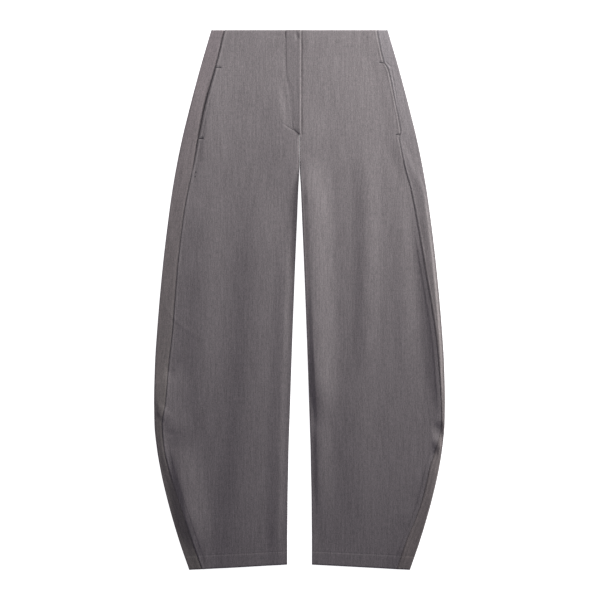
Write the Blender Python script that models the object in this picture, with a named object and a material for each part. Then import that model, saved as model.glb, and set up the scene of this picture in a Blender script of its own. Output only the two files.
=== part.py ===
"""Barrel leg trousers, laid flat on their back with the front panels up.

X runs across the hips, with the wearer's right leg at -X. +Y runs from hem to waist, and +Z up from
the surface that the trousers lie on. The origin is the middle of their footprint, on that surface.
Tables are in millimetres and everything that is built is in metres.
"""

import math
from collections import namedtuple

import bmesh
import bpy
from mathutils import Vector

MM = 0.001

# Driving sizes
LENGTH = 1030 * MM
CROTCH = 254 * MM
CLOTH = 1.2 * MM
SEAM_GAP = 0.3 * MM
EDGE_RADIUS = 2.4 * MM
LAID_HEIGHT = 2.9 * MM
MOST_HEIGHT = 6.3 * MM  # the layers lie on each other, so no space between them is over 4 mm high
EDGE_ROLL_REACH = 34 * MM
HEM_DEPTH = 25 * MM
HEM_STEP = 0.5 * MM
HEM_RISE = 10 * MM
HEM_RISE_REACH = 160 * MM
POCKET_SLIT = 1.6 * MM
POCKET_SLIT_TAPER = 8 * MM
FACING_HALF_WIDTH = 10 * MM
FACING_PAST_SLIT = 12 * MM
FACING_CLOTH = 1.0 * MM
FLY_LENGTH = 199 * MM
FLY_WIDTH = 27 * MM
FLY_STRAIGHT = 90 * MM
FLY_OVERLAP = 2.5 * MM
FLY_CLOTH = 1.0 * MM
SEAM_RIDGE_HALF_WIDTH = 30 * MM
RIDGE_EDGE_FADE = 8 * MM
FOLD_END_RATE = 3.5  # a fold is at full height over all but the first and last 1/3.5 of its length

# Mesh steps
ROW_STEP = 32 * MM
ROW_CLEARANCE = 9 * MM
NOSE_STEPS = 4
FRONT_STEPS = 12
UNDERSIDE_STEPS = 4
SIDE_FOLD_STEPS = 8
WRAP_STEPS = 3
FLY_COLUMNS = 5
FLY_ROWS = 13
FACING_COLUMNS = 4
FACING_ROWS = 9
CROTCH_ROWS = [-14 * MM, -6 * MM, -2.4 * MM, -0.8 * MM, 0.0, 5 * MM]

# One row for each section across the trousers: how far it lies below the waist edge, the half width to
# the side fold, half the gap between the legs, how far inside the fold each side seam runs, and how
# high the seam stands up as a ridge. "right" and "left" are the wearer's.
Section = namedtuple(
    "Section", "down half_width half_gap seam_right seam_left ridge_right ridge_left"
)
SECTIONS = [
    Section(0, 168.4, 0.15, 25.4, 21.5, 2.6, 2.6),
    Section(69, 188.6, 0.15, 28.8, 22.5, 2.8, 2.8),
    Section(134, 206.0, 0.15, 28.0, 26.5, 2.8, 2.8),
    Section(208, 224.3, 0.15, 30.9, 27.7, 2.8, 2.8),
    Section(254, 233.8, 0.15, 32.2, 32.4, 2.2, 2.2),
    Section(305, 242.7, 2.5, 30.5, 32.4, 1.6, 2.2),
    Section(363, 250.8, 4.8, 28.4, 29.2, 1.4, 2.5),
    Section(454, 261.5, 8.6, 28.8, 22.9, 1.2, 3.0),
    Section(572, 271.9, 13.1, 29.8, 14.1, 1.2, 3.2),
    Section(637, 276.0, 15.4, 26.7, 11.4, 1.4, 3.2),
    Section(706, 277.6, 17.7, 22.7, 8.2, 1.6, 2.8),
    Section(752, 276.9, 19.3, 15.3, 6.4, 1.8, 2.0),
    Section(797, 272.5, 20.8, 14.3, 12.4, 2.4, 1.8),
    Section(843, 264.7, 21.7, 17.0, 19.0, 2.8, 2.0),
    Section(889, 254.2, 22.7, 21.5, 19.0, 3.0, 2.0),
    Section(935, 241.8, 23.1, 24.4, 22.0, 3.0, 1.8),
    Section(981, 227.7, 23.5, 25.0, 26.7, 2.6, 1.6),
    Section(1030, 210.7, 23.5, 24.8, 25.2, 1.8, 1.4),
]

# One row for each long soft fold down a leg. x is measured outwards from the centre line.
Fold = namedtuple("Fold", "leg top bottom x_top x_bottom half_width height")
FOLDS = [
    Fold("right", 290, 780, 178, 186, 40, 2.3),
    Fold("right", 430, 1020, 95, 95, 42, 2.1),
    Fold("right", 300, 940, 36, 44, 30, 1.3),
    Fold("left", 265, 900, 20, 43, 40, 2.5),
    Fold("left", 240, 700, 127, 127, 36, 2.6),
    Fold("left", 360, 640, 199, 199, 24, 1.3),
    Fold("left", 640, 1000, 120, 112, 46, 1.2),
]

# One row for each short dent or lift where the curved side fold buckles at the knee.
Dent = namedtuple("Dent", "leg down inset half_across half_along height")
DENTS = [
    Dent("right", 652, 24, 30, 30, -1.0),
    Dent("right", 722, 26, 46, 34, 1.3),
    Dent("right", 768, 22, 30, 24, -1.3),
    Dent("left", 744, 16, 34, 22, -1.4),
    Dent("left", 775, 18, 44, 26, 1.5),
    Dent("left", 806, 22, 36, 24, -1.5),
]

Leg = namedtuple("Leg", "name sign pocket_top pocket_bottom")
LEGS = [
    Leg("right", -1, 71 * MM, 208 * MM),
    Leg("left", 1, 63 * MM, 201 * MM),
]

CLOTH_COLOURS = {
    "front": (0.200, 0.185, 0.194),
    "back": (0.205, 0.184, 0.192),
    "fly": (0.185, 0.171, 0.180),
    "facing": (0.075, 0.068, 0.072),
}
CLOTH_ROUGHNESS = 0.85
SHARP_ANGLE = math.radians(40)


def clear_scene():
    for item in list(bpy.data.objects):
        bpy.data.objects.remove(item, do_unlink=True)


def ease(share):
    """A soft step from 0 to 1."""
    share = min(1.0, max(0.0, share))
    return share * share * (3 - 2 * share)


def bump(share):
    """A rounded crest: 1 at 0, and 0 from 1 on either side."""
    return 0.5 + 0.5 * math.cos(math.pi * min(1.0, abs(share)))


def tangents(column):
    """Slopes at the table's rows that never overshoot between them."""
    rows = [(row.down, getattr(row, column)) for row in SECTIONS]
    slopes = [(b[1] - a[1]) / (b[0] - a[0]) for a, b in zip(rows, rows[1:])]
    inner = [2 * p * q / (p + q) if p * q > 0 else 0.0 for p, q in zip(slopes, slopes[1:])]
    return [slopes[0]] + inner + [slopes[-1]]


TANGENTS = {column: tangents(column) for column in Section._fields if column != "down"}


def size_at(column, down):
    """A column of the section table, in metres, read on a smooth curve at this distance below the waist."""
    at = min(max(down / MM, 0.0), SECTIONS[-1].down)
    index = max(i for i, row in enumerate(SECTIONS[:-1]) if row.down <= at)
    here, after = SECTIONS[index], SECTIONS[index + 1]
    span = after.down - here.down
    s = (at - here.down) / span
    start, end = TANGENTS[column][index], TANGENTS[column][index + 1]
    value = (
        (1 + 2 * s) * (1 - s) ** 2 * getattr(here, column)
        + s * (1 - s) ** 2 * span * start
        + s * s * (3 - 2 * s) * getattr(after, column)
        + s * s * (s - 1) * span * end
    )
    return value * MM


def seam_at(leg, down):
    """How far from the centre line the side seam lies on the front."""
    return size_at("half_width", down) - size_at("seam_" + leg.name, down)


def slit_at(leg, down):
    """Half the gap along the side seam, which opens at the pocket."""
    opened = ease((down - leg.pocket_top) / POCKET_SLIT_TAPER)
    closed = ease((leg.pocket_bottom - down) / POCKET_SLIT_TAPER)
    return 0.5 * (SEAM_GAP + (POCKET_SLIT - SEAM_GAP) * opened * closed)


def inner_edge(x, down):
    """How far a point lies from the edge between the legs, and the direction away from it as (x, down)."""
    across = x - size_at("half_gap", down)
    if down >= CROTCH:
        return across, (1.0, 0.0)
    distance = math.hypot(across, CROTCH - down)
    return distance, (across / distance, (down - CROTCH) / distance)


def folds_at(leg, x, down):
    """The height that the long folds add."""
    total = 0.0
    for fold in FOLDS:
        if fold.leg != leg.name:
            continue
        share = (down / MM - fold.top) / (fold.bottom - fold.top)
        if not 0 < share < 1:
            continue
        crest = fold.x_top + (fold.x_bottom - fold.x_top) * share
        strength = ease(FOLD_END_RATE * share) * ease(FOLD_END_RATE * (1 - share))
        total += fold.height * strength * bump((x / MM - crest) / fold.half_width)
    return total * MM


def dents_at(leg, x, down):
    """The height that the knee's dents and lifts add."""
    inset = (size_at("half_width", down) - x) / MM
    total = 0.0
    for dent in DENTS:
        if dent.leg == leg.name:
            across = bump((inset - dent.inset) / dent.half_across)
            total += dent.height * across * bump((down / MM - dent.down) / dent.half_along)
    return total * MM


def height_at(leg, x, down):
    """The height of the front's outer face, which rolls up to the folded edges."""
    from_gap = inner_edge(x, down)[0]
    from_side = size_at("half_width", down) - x
    roll = 2 * EDGE_RADIUS
    settled = ease((from_gap - EDGE_RADIUS) / EDGE_ROLL_REACH)
    settled *= ease((from_side - EDGE_RADIUS) / EDGE_ROLL_REACH)
    laid = LAID_HEIGHT + folds_at(leg, x, down)
    off_seam = (x - seam_at(leg, down)) / SEAM_RIDGE_HALF_WIDTH
    raised = size_at("ridge_" + leg.name, down) * bump(off_seam) + dents_at(leg, x, down)
    raised *= ease((from_side - EDGE_RADIUS) / RIDGE_EDGE_FADE)
    hem = HEM_STEP if down > LENGTH - HEM_DEPTH else 0.0
    clear_of_edges = from_gap >= EDGE_RADIUS and from_side >= EDGE_RADIUS
    base = roll + settled * (laid - roll)
    room = MOST_HEIGHT - base
    height = base + room * math.tanh((raised + (hem if clear_of_edges else 0.0)) / room)
    return max(height, LAID_HEIGHT)


def place(leg, x, down, z):
    """A point of the leg in the part's frame. The hem rises a little towards the inner leg."""
    width = size_at("half_width", down)
    inward = min(1.0, max(0.0, (width - x) / (width - size_at("half_gap", down))))
    lift = HEM_RISE * inward * ease((down - LENGTH + HEM_RISE_REACH) / HEM_RISE_REACH)
    return Vector((leg.sign * x, LENGTH / 2 - down + lift, z))


def edge_angle(distance):
    """Cosine and sine of the turn round the folded edge, at this distance from it."""
    cosine = max(0.0, 1 - distance / EDGE_RADIUS)
    return cosine, math.sqrt(1 - cosine * cosine)


def layer_point(leg, x, down, side):
    """Outer and inner point of the wall. side is 1 on the front and -1 on the back, which lies flat."""
    distance, (away_x, away_down) = inner_edge(x, down)
    cosine, sine = edge_angle(distance)
    start = EDGE_RADIUS + side * SEAM_GAP / 2
    rise = side * (EDGE_RADIUS - SEAM_GAP / 2)
    outer_z = start + rise * sine
    inner_z = start + (rise - side * CLOTH) * sine
    if side > 0 and cosine == 0.0:
        outer_z = height_at(leg, x, down)
        inner_z = outer_z - CLOTH
    shift = CLOTH * cosine
    inner = place(leg, x + shift * away_x, down + shift * away_down, inner_z)
    return place(leg, x, down, outer_z), inner


def spread(start, end, steps):
    return [start + (end - start) * i / steps for i in range(steps + 1)]


def nose_stations(down):
    """Distances from the centre line that step round the fold at the inner leg."""
    start = size_at("half_gap", down)
    turns = [0.5 * math.pi * i / NOSE_STEPS for i in range(NOSE_STEPS)]
    return [start + EDGE_RADIUS * (1 - math.cos(turn)) for turn in turns]


def front_row(leg, down):
    """The front panel's wall at one level, from the centre seam or inseam to the side seam."""
    stop = seam_at(leg, down) - slit_at(leg, down)
    start = size_at("half_gap", down) + EDGE_RADIUS
    stations = nose_stations(down) + spread(start, stop, FRONT_STEPS)
    return [layer_point(leg, x, down, 1) for x in stations]


def back_row(leg, down):
    """The back panel's wall at one level: along the underside, round the side fold and up to the side seam."""
    side = size_at("half_width", down) - EDGE_RADIUS
    start = size_at("half_gap", down) + EDGE_RADIUS
    stations = nose_stations(down) + spread(start, side, UNDERSIDE_STEPS)[:-1]
    points = [layer_point(leg, x, down, -1) for x in stations]
    for turn in spread(-0.5 * math.pi, 0.5 * math.pi, SIDE_FOLD_STEPS):
        pair = []
        for radius in (EDGE_RADIUS, EDGE_RADIUS - CLOTH):
            x = side + radius * math.cos(turn)
            pair.append(place(leg, x, down, EDGE_RADIUS + radius * math.sin(turn)))
        points.append(tuple(pair))
    for x in spread(side, seam_at(leg, down) + slit_at(leg, down), WRAP_STEPS)[1:]:
        outer_z = height_at(leg, x, down)
        points.append((place(leg, x, down, outer_z), place(leg, x, down, outer_z - CLOTH)))
    return points


def levels(leg):
    """Distances below the waist of the panels' rows, closer at the crotch, the pocket's ends and the hem."""
    special = [CROTCH + offset for offset in CROTCH_ROWS]
    special += [leg.pocket_top, leg.pocket_top + POCKET_SLIT_TAPER]
    special += [leg.pocket_bottom - POCKET_SLIT_TAPER, leg.pocket_bottom]
    special += [0.0, LENGTH - HEM_DEPTH - MM, LENGTH - HEM_DEPTH + MM, LENGTH]
    regular = spread(0.0, LENGTH, round(LENGTH / ROW_STEP))
    free = [r for r in regular if all(abs(r - s) > ROW_CLEARANCE for s in special)]
    return sorted(special + free)


def cloth_material(name, colour):
    material = bpy.data.materials.new(name)
    material.use_nodes = True
    shader = material.node_tree.nodes["Principled BSDF"]
    shader.inputs["Base Color"].default_value = (*colour, 1.0)
    shader.inputs["Roughness"].default_value = CLOTH_ROUGHNESS
    shader.inputs["Metallic"].default_value = 0.0
    return material


def loft_wall(name, rows, colour, collection):
    """One closed piece of cloth from rows of (outer, inner) points."""
    mesh = bmesh.new()
    skins = [[[mesh.verts.new(pair[face]) for pair in row] for row in rows] for face in (0, 1)]
    down_steps, across_steps = len(rows) - 1, len(rows[0]) - 1
    for skin in skins:
        for i in range(down_steps):
            for j in range(across_steps):
                mesh.faces.new((skin[i][j], skin[i][j + 1], skin[i + 1][j + 1], skin[i + 1][j]))
    rim = [(0, j) for j in range(across_steps)]
    rim += [(i, across_steps) for i in range(down_steps)]
    rim += [(down_steps, j) for j in range(across_steps, 0, -1)]
    rim += [(i, 0) for i in range(down_steps, 0, -1)]
    outer, inner = skins
    for (i, j), (k, m) in zip(rim, rim[1:] + rim[:1]):
        mesh.faces.new((outer[i][j], outer[k][m], inner[k][m], inner[i][j]))
    bmesh.ops.recalc_face_normals(mesh, faces=mesh.faces)
    data = bpy.data.meshes.new(name)
    mesh.to_mesh(data)
    mesh.free()
    data.shade_smooth()
    data.set_sharp_from_angle(angle=SHARP_ANGLE)
    data.materials.append(cloth_material(name + "_cloth", CLOTH_COLOURS[colour]))
    piece = bpy.data.objects.new(name, data)
    collection.objects.link(piece)
    return piece


def build_leg(leg, collection):
    down_levels = levels(leg)
    fronts = [front_row(leg, down) for down in down_levels]
    backs = [back_row(leg, down) for down in down_levels]
    loft_wall("front_" + leg.name, fronts, "front", collection)
    loft_wall("back_" + leg.name, backs, "back", collection)


def fly_start(down):
    """Where the placket's stitched edge runs: straight from the waist, then curving in to the centre seam."""
    share = max(0.0, down - FLY_STRAIGHT) / (FLY_LENGTH - FLY_STRAIGHT)
    return -FLY_WIDTH * math.sqrt(1 - min(1.0, share) ** 2)


def build_fly(collection):
    """The placket lies over the closing, just above both fronts."""
    right, left = LEGS
    rows = []
    for down in spread(0.0, FLY_LENGTH, FLY_ROWS):
        row = []
        for x in spread(fly_start(down), FLY_OVERLAP, FLY_COLUMNS):
            leg = right if x < 0 else left
            reach = max(abs(x), size_at("half_gap", down))
            under = height_at(leg, reach, down) + SEAM_GAP
            flat = place(leg, abs(x), down, under)
            row.append((flat + Vector((0, 0, FLY_CLOTH)), flat))
        rows.append(row)
    loft_wall("fly_placket", rows, "fly", collection)


def build_pocket_facing(leg, collection):
    """The strip behind the pocket's slit, under the front and the wrapped edge of the back."""
    rows = []
    start, stop = leg.pocket_top - FACING_PAST_SLIT, leg.pocket_bottom + FACING_PAST_SLIT
    for down in spread(start, stop, FACING_ROWS):
        seam = seam_at(leg, down)
        row = []
        for x in spread(seam - FACING_HALF_WIDTH, seam + FACING_HALF_WIDTH, FACING_COLUMNS):
            upper = place(leg, x, down, height_at(leg, x, down) - CLOTH - SEAM_GAP)
            row.append((upper, upper - Vector((0, 0, FACING_CLOTH))))
        rows.append(row)
    loft_wall("pocket_facing_" + leg.name, rows, "facing", collection)


def main():
    clear_scene()
    collection = bpy.data.collections.new("barrel_leg_trousers")
    bpy.context.scene.collection.children.link(collection)
    for leg in LEGS:
        build_leg(leg, collection)
        build_pocket_facing(leg, collection)
    build_fly(collection)


main()
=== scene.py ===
"""Barrel leg trousers laid flat on their back: every panel, seam and stitch round the frame.

+X runs towards the wearer's left leg, +Y from hem to waist and +Z up from the surface. In the code x is
the distance out from the centre line and down is the distance below the waist edge. Tables are in
millimetres, and everything that is built is in metres.
"""

import math
from collections import namedtuple

import bpy
import numpy as np
from bpy.props import FloatProperty, FloatVectorProperty, PointerProperty
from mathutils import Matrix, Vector


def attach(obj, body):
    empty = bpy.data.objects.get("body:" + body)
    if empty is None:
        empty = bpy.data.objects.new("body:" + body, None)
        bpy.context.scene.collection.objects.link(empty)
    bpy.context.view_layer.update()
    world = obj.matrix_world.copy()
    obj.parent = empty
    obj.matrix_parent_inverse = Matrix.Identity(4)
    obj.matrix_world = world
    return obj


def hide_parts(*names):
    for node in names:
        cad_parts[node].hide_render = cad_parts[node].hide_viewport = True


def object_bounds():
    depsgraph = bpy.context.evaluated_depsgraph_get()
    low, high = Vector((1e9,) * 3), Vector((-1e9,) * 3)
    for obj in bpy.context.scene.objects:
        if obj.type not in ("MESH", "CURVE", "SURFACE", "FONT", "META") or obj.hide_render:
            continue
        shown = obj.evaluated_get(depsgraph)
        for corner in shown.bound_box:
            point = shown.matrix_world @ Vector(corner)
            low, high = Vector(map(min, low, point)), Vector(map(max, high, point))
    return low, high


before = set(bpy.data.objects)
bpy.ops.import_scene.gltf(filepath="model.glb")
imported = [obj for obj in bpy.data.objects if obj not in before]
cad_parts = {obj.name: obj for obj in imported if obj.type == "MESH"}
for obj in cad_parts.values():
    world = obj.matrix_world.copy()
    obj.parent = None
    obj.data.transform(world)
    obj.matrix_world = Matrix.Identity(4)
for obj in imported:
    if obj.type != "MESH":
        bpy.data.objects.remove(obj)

bl_info = {
    "name": "Barrel Leg Trousers",
    "version": (1, 0, 0),
    "blender": (4, 5, 0),
    "location": "View3D > Sidebar > Trousers",
    "description": "Lays out barrel leg trousers with their seams, pockets, fly and stitching",
    "category": "Object",
}

MM = 0.001
CAD_LOW, CAD_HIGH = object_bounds()
LENGTH = CAD_HIGH.y - CAD_LOW.y
CROTCH = 254 * MM
GAP_NOSE = 2.2 * MM
PANEL_GAP = 0.3 * MM
NEAREST_LAYERS = 0.25 * MM
THINNEST = 0.4 * MM


def by_leg(kind, **legs):
    """Each leg's rows of one kind."""
    return {leg: [kind(*row) for row in rows] for leg, rows in legs.items()}


# One row for each section across the trousers: how far it lies below the waist edge, the half width to
# the side fold, half the gap between the legs, how far inside the fold each side seam runs, how far each
# seam rises over the laid cloth, and how high each side fold and the fold between the legs stand. "right"
# and "left" are the wearer's.
Section = namedtuple(
    "Section",
    "down half_width half_gap seam_right seam_left crest_right crest_left "
    "side_right side_left edge_right edge_left",
)
SECTIONS = [Section(*row) for row in [
    (0, 168.4, 0.15, 25.4, 22, 0.2, 1.2, 3.8, 4.2, 3.2, 3.2),
    (60, 186.1, 0.15, 28.7, 26.5, 0.3, 1.4, 3.8, 4.2, 3.2, 3.2),
    (75, 190.3, 0.15, 28.8, 22, 0.4, 1.4, 4.4, 4.2, 3.2, 3.2),
    (134, 206, 0.15, 28, 24.8, 0.9, 1.6, 5.8, 4.2, 3.2, 3.2),
    (193, 220.8, 0.15, 30.3, 28.7, 1, 1.8, 5.2, 4.2, 5.2, 5.2),
    (208, 224.3, 0.15, 30.9, 35, 1, 1.8, 4.6, 4.2, 5.4, 5.4),
    (254, 233.8, 0.15, 32.2, 35.5, 1, 1.9, 4.2, 4, 5.4, 6),
    (305, 242.7, 2.5, 30.5, 30.5, 1, 1.4, 4, 4.4, 3.6, 10.8),
    (363, 250.8, 4.8, 28.4, 27.6, 1, 2.8, 4, 4.4, 2.9, 12.7),
    (454, 261.5, 8.6, 28.8, 22.9, 1, 4.7, 3.8, 4.6, 2.7, 12.6),
    (572, 271.9, 13.1, 29.8, 14.1, 0.8, 5.4, 3.8, 4.8, 2.7, 11.2),
    (637, 276, 15.4, 26.7, 11.4, 0.5, 4.8, 4.4, 4.6, 2.7, 10),
    (706, 277.6, 17.7, 22.7, 8.2, 0.2, 2, 9.4, 4.4, 2.7, 8.8),
    (752, 276.9, 19.3, 15.3, 6.4, 0.5, 0.6, 8.2, 4, 2.7, 5.5),
    (797, 272.5, 20.8, 14.3, 12.4, 1.2, 0.2, 6, 4.8, 2.7, 3.7),
    (843, 264.7, 21.7, 17, 19, 1.8, 0.6, 3.2, 8, 2.7, 3.6),
    (889, 254.2, 22.7, 21.5, 19, 1.8, 0.6, 3.2, 8.2, 2.7, 3.5),
    (935, 241.8, 23.1, 24.4, 22, 1.6, 1.4, 3.4, 6.2, 2.7, 3.4),
    (981, 227.7, 23.5, 25, 26.7, 1.2, 0.6, 3.4, 4.6, 2.7, 3.3),
    (1030, 210.7, 23.5, 24.8, 25.2, 0.8, 0.4, 2.8, 3, 2.7, 3.2),
]]

# One row for each long soft fold down a leg: where it starts and ends, where its crest runs at the top,
# middle and bottom, how wide it is on the crest's inner and outer side, how high it stands, and how far
# it takes to fade in and out at its ends. The first two lift the waist over its facing inside.
Fold = namedtuple("Fold", "top bottom x_top x_middle x_bottom inner outer height fade")
FOLDS = by_leg(Fold, right=[
    (-200, 60, 0, 0, 0, 400, 400, 2.6, 60),
    (0, 330, 144, 173, 192, 50, 16, 2.4, 150),
    (250, 790, 176, 184, 198, 44, 56, 2.4, 150),
    (260, 1060, 70, 94, 132, 70, 50, 3.6, 180),
    (350, 1060, 22, 36, 44, 24, 26, 1.8, 120),
    (280, 640, 14, 16, 20, 18, 80, 0.8, 120),
    (630, 800, 268, 268, 258, 66, 24, 6, 60),
    (770, 1022, 232, 218, 198, 49, 30, 6.8, 100),
    (900, 1120, 124, 124, 124, 70, 84, 1.5, 80),
    (120, 340, 2, 2, 6, 16, 90, 3, 100),
], left=[
    (-200, 60, 0, 0, 0, 400, 400, 2.6, 60),
    (120, 340, 2, 2, 6, 16, 62, 3, 100),
    (235, 760, 11, 21, 31, 44, 54, 10.4, 100),
    (560, 980, 34, 36, 38, 20, 30, 3, 150),
    (190, 700, 126, 128, 122, 30, 32, 2.9, 150),
    (600, 1010, 112, 112, 112, 46, 50, 1.7, 150),
    (280, 700, 193, 198, 204, 26, 24, 1, 120),
    (800, 1040, 276, 224, 182, 44, 20, 2.4, 60),
])

# One row for each short crease, dent (height below 0) or bulge: its two ends, how far it bows outwards
# from the straight line, how wide it is on either side, and its height.
Crease = namedtuple("Crease", "x_from down_from x_to down_to bow width height")
CREASES = by_leg(Crease, right=[
    (30, 179.5, 8, 194, 0.5, 1.5, -0.5),
    (256, 722, 268, 734, 0, 30, 1.3),
    (258, 528, 182, 592, 6, 4, 0.45),
    (250, 764, 246, 774, 0, 14, -0.6),
    (256, 652, 240, 654, 0, 14, -0.8),
    (159, 71.5, 150, 71.5, 0, 4.2, -1),
    (192, 207, 184, 206.5, 0, 4.2, -0.8),
    (214, 214, 226, 288, 0, 8, 0.25),
    (60, 11, 32, 11, 0, 6, -0.4),
], left=[
    (281, 763, 257, 765, 0, 21, -2.6),
    (284, 788, 260, 797, 0, 24, 3.2),
    (234, 752, 252, 716, -5, 5, 0.5),
    (160, 63, 152, 61.5, 0, 3.4, -0.7),
    (164, 61, 176, 72, 0, 3, -0.5),
    (192, 200, 186, 199, 0, 3.2, -0.7),
    (175, 76, 189, 158, 0, 2.4, -0.5),
    (203, 216, 227, 284, 0, 7, -0.55),
    (5, 28, 5, 40, 0, 3, -0.5),
])
CREASE_TAPER = 0.3

# The edge of the seam allowance under the cloth prints through, this far inside the side seam.
Print = namedtuple("Print", "top bottom inset height")
PRINTS = by_leg(Print, right=[
    (770, 1040, 10.5, -0.35),
], left=[
    (380, 735, 8.5, 0.6),
    (800, 1040, 8, 0.7),
])
PRINT_EDGE = 2.0 * MM
PRINT_FALL = 24.0 * MM
PRINT_FADE = 50 * MM

# One row for each leg: its side, where its pocket starts and ends, how far the slit stands open, how much
# more it gapes and where, the seam's lips, how much deeper its edges turn at the pocket, how far the edge
# between the legs rolls, how far inside the side seam its crest reaches, the least distance of the crest
# from the side fold, and how high the front's edge stands over the strip at the pocket and elsewhere.
Leg = namedtuple(
    "Leg",
    "name sign pocket_top pocket_bottom open gape gape_middle lip_front lip_back turned "
    "gap_reach crest_reach crest_inset over_pocket over_rest",
)
LEG_ROWS = [
    ("right", -1, 71, 208, 0.75, 0.2, 130, 0.1, 0.1, 0.9, 16, 34, 40, 0.9, 0.4),
    ("left", 1, 63, 201, 0, 0, 92, 0.28, 0.34, -0.15, 11, 36, 8.5, 0, -0.25),
]
LEGS = [Leg(name, sign, *(value * MM for value in values)) for name, sign, *values in LEG_ROWS]
RIGHT, LEFT = LEGS

# Where the placket's stitched edge runs: its distance below the waist and out from the centre line.
FLY_EDGE = [(0, 27), (86, 27), (120, 24), (145, 21.4), (172, 18.6), (186, 14.5), (194, 8), (200, 0)]
FLY_LENGTH = FLY_EDGE[-1][0] * MM
FLY_OVERLAP = 2.0 * MM
FLY_SINK = 0.5 * MM
CENTRE_LEAST = 0.15 * MM

# Small ridges, and ditches below 0: the height, where the middle runs and the reach.
Ridge = namedtuple("Ridge", "height middle reach")
FLY_STEP = Ridge(-0.65, 3.4, 4.2)
FLY_DITCH = Ridge(-0.45, 0.4, 2.0)
FLY_OPENING = Ridge(-1.9, -0.1, 1.9)
PLACKET_FOLD = Ridge(0.2, 3, 4)
HEM_DITCH = Ridge(-0.12, -1.0, 2.4)

# Edges that turn under: the depth, where the cloth begins to rise and how far that takes.
Turn = namedtuple("Turn", "depth start reach")
CENTRE_TURN_LEFT = Turn(0.15, 0.2, 1.6)
CENTRE_TURN_RIGHT = Turn(0.75, 0.2, 4.5)
END_TURN = Turn(1.0, 0, 2.2)
PLACKET_END_TURN = Turn(0.9, 0, 2.2)

# Stations from an edge, closest together where the cloth turns most.
END_STATIONS = np.array([0, 0.35, 0.8, 1.4, 2.2, 3.2]) * MM
SEAM_STATIONS = np.array([
    0, 0.3, 0.7, 1.2, 1.8, 2.5, 3.3, 4.2, 5.2, 6.4, 7.4, 8.2, 9, 9.8, 10.6, 11.4, 12.4, 14, 16, 18.5,
]) * MM
STRIP_STATIONS = SEAM_STATIONS[:7]
GAP_STEP = 0.8
GAP_STEPS = {"right": 34, "left": 14}

SEED = 11
NOISE_CELLS = 511
NOISE_SHIFT = 64


def length_property(name, description, default, least=0):
    return FloatProperty(
        name=name, description=description, default=default, min=least,
        subtype="DISTANCE", unit="LENGTH",
    )


def colour_property(name, of_what, default):
    return FloatVectorProperty(
        name=name, description="Colour of " + of_what, default=default, min=0, max=1,
        subtype="COLOR", size=3,
    )


def number_property(name, description, default):
    return FloatProperty(name=name, description=description, default=default)


class TrouserSizes(bpy.types.PropertyGroup):
    """Sizes of the cloth and its sewing."""

    cloth: length_property("Cloth", "Thickness of the suiting", 1.2 * MM, least=0.5 * MM)
    laid: length_property("Laid height", "Height of the front where both layers lie flat", 2.9 * MM)
    roll_reach: length_property("Roll reach", "How far a folded edge takes to settle", 30 * MM)
    hem: length_property("Hem depth", "Depth of the turned-up hem", 25 * MM)
    hem_rise: length_property("Hem rise", "How much higher the hem is at the inner leg", 10 * MM)
    stitch: length_property("Stitch", "Length of one topstitch", 2.4 * MM)
    thread: length_property("Thread", "Thickness of the sewing thread", 0.35 * MM)
    tack: length_property("Bar tack", "Width of a bar tack", 2.6 * MM)


class TrouserColours(bpy.types.PropertyGroup):
    """Colours of the cloth, thread and floor."""

    front: colour_property("Front", "the fronts and fly", (0.216, 0.195, 0.195))
    # The backs are the front's cloth with painted sheen: pinker where their strips catch the light across
    # the grain, and each leg's tint set for how its strip is lit.
    back_right: colour_property("Right back", "the right back", (0.223, 0.193, 0.196))
    back_left: colour_property("Left back", "the left back", (0.211, 0.194, 0.199))
    # Towards the hem the backs turn browner and less blue: painted shade tint for their shaded lower
    # strips.
    calf_right: colour_property("Right calf", "the right back's hem", (0.214, 0.196, 0.177))
    calf_left: colour_property("Left calf", "the left back's hem", (0.222, 0.194, 0.182))
    # The facings are painted far darker than the cloth they are cut from: painted shade in the pocket
    # slits.
    facing: colour_property("Facing", "the pocket facings", (0.100, 0.091, 0.093))
    # Dark thread, painted darker still as the shade of the pinch round the bar tacks.
    thread: colour_property("Thread", "the sewing thread", (0.065, 0.059, 0.063))
    floor: colour_property("Floor", "the surface they lie on", (0.90, 0.90, 0.90))


class TrouserStudio(bpy.types.PropertyGroup):
    """The camera and the lamps."""

    lens: number_property("Lens", "Focal length in millimetres", 85)
    view_width: length_property("View width", "Side of the square that the camera sees", 1.1444)
    key: number_property("Key", "Power of the low lamp at the upper right", 28.6)
    top: number_property("Top", "Power of the lamp beyond the waist", 6.6)
    side: number_property("Side", "Power of the lamp at the upper left", 4.8)
    fill: number_property("Fill", "Strength of the even light", 0.16)
    fill_colour: colour_property("Fill colour", "the even light", (0.79, 0.75, 1.0))
    floor_glow: number_property("Floor glow", "Light that the floor gives", 0.95)


def ease(share):
    """A soft step from 0 to 1."""
    share = np.clip(share, 0.0, 1.0)
    return share * share * (3 - 2 * share)


def bump(share):
    """A rounded crest: 1 at 0, and 0 from 1 on either side."""
    return 0.5 + 0.5 * np.cos(np.pi * np.clip(np.abs(share), 0.0, 1.0))


def window(at, start, stop, fade_in, fade_out=None):
    """1 from start to stop and 0 outside them, with soft ends."""
    return ease((at - start) / fade_in) * ease((stop - at) / (fade_out or fade_in))


def ridge(shape, at):
    """The height that a small ridge or ditch adds at this distance."""
    return shape.height * MM * bump((at - shape.middle * MM) / (shape.reach * MM))


def sunk(turn, at):
    """How deep a turned edge lies at this distance."""
    return turn.depth * MM * (1 - ease((at - turn.start * MM) / (turn.reach * MM)))


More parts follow.
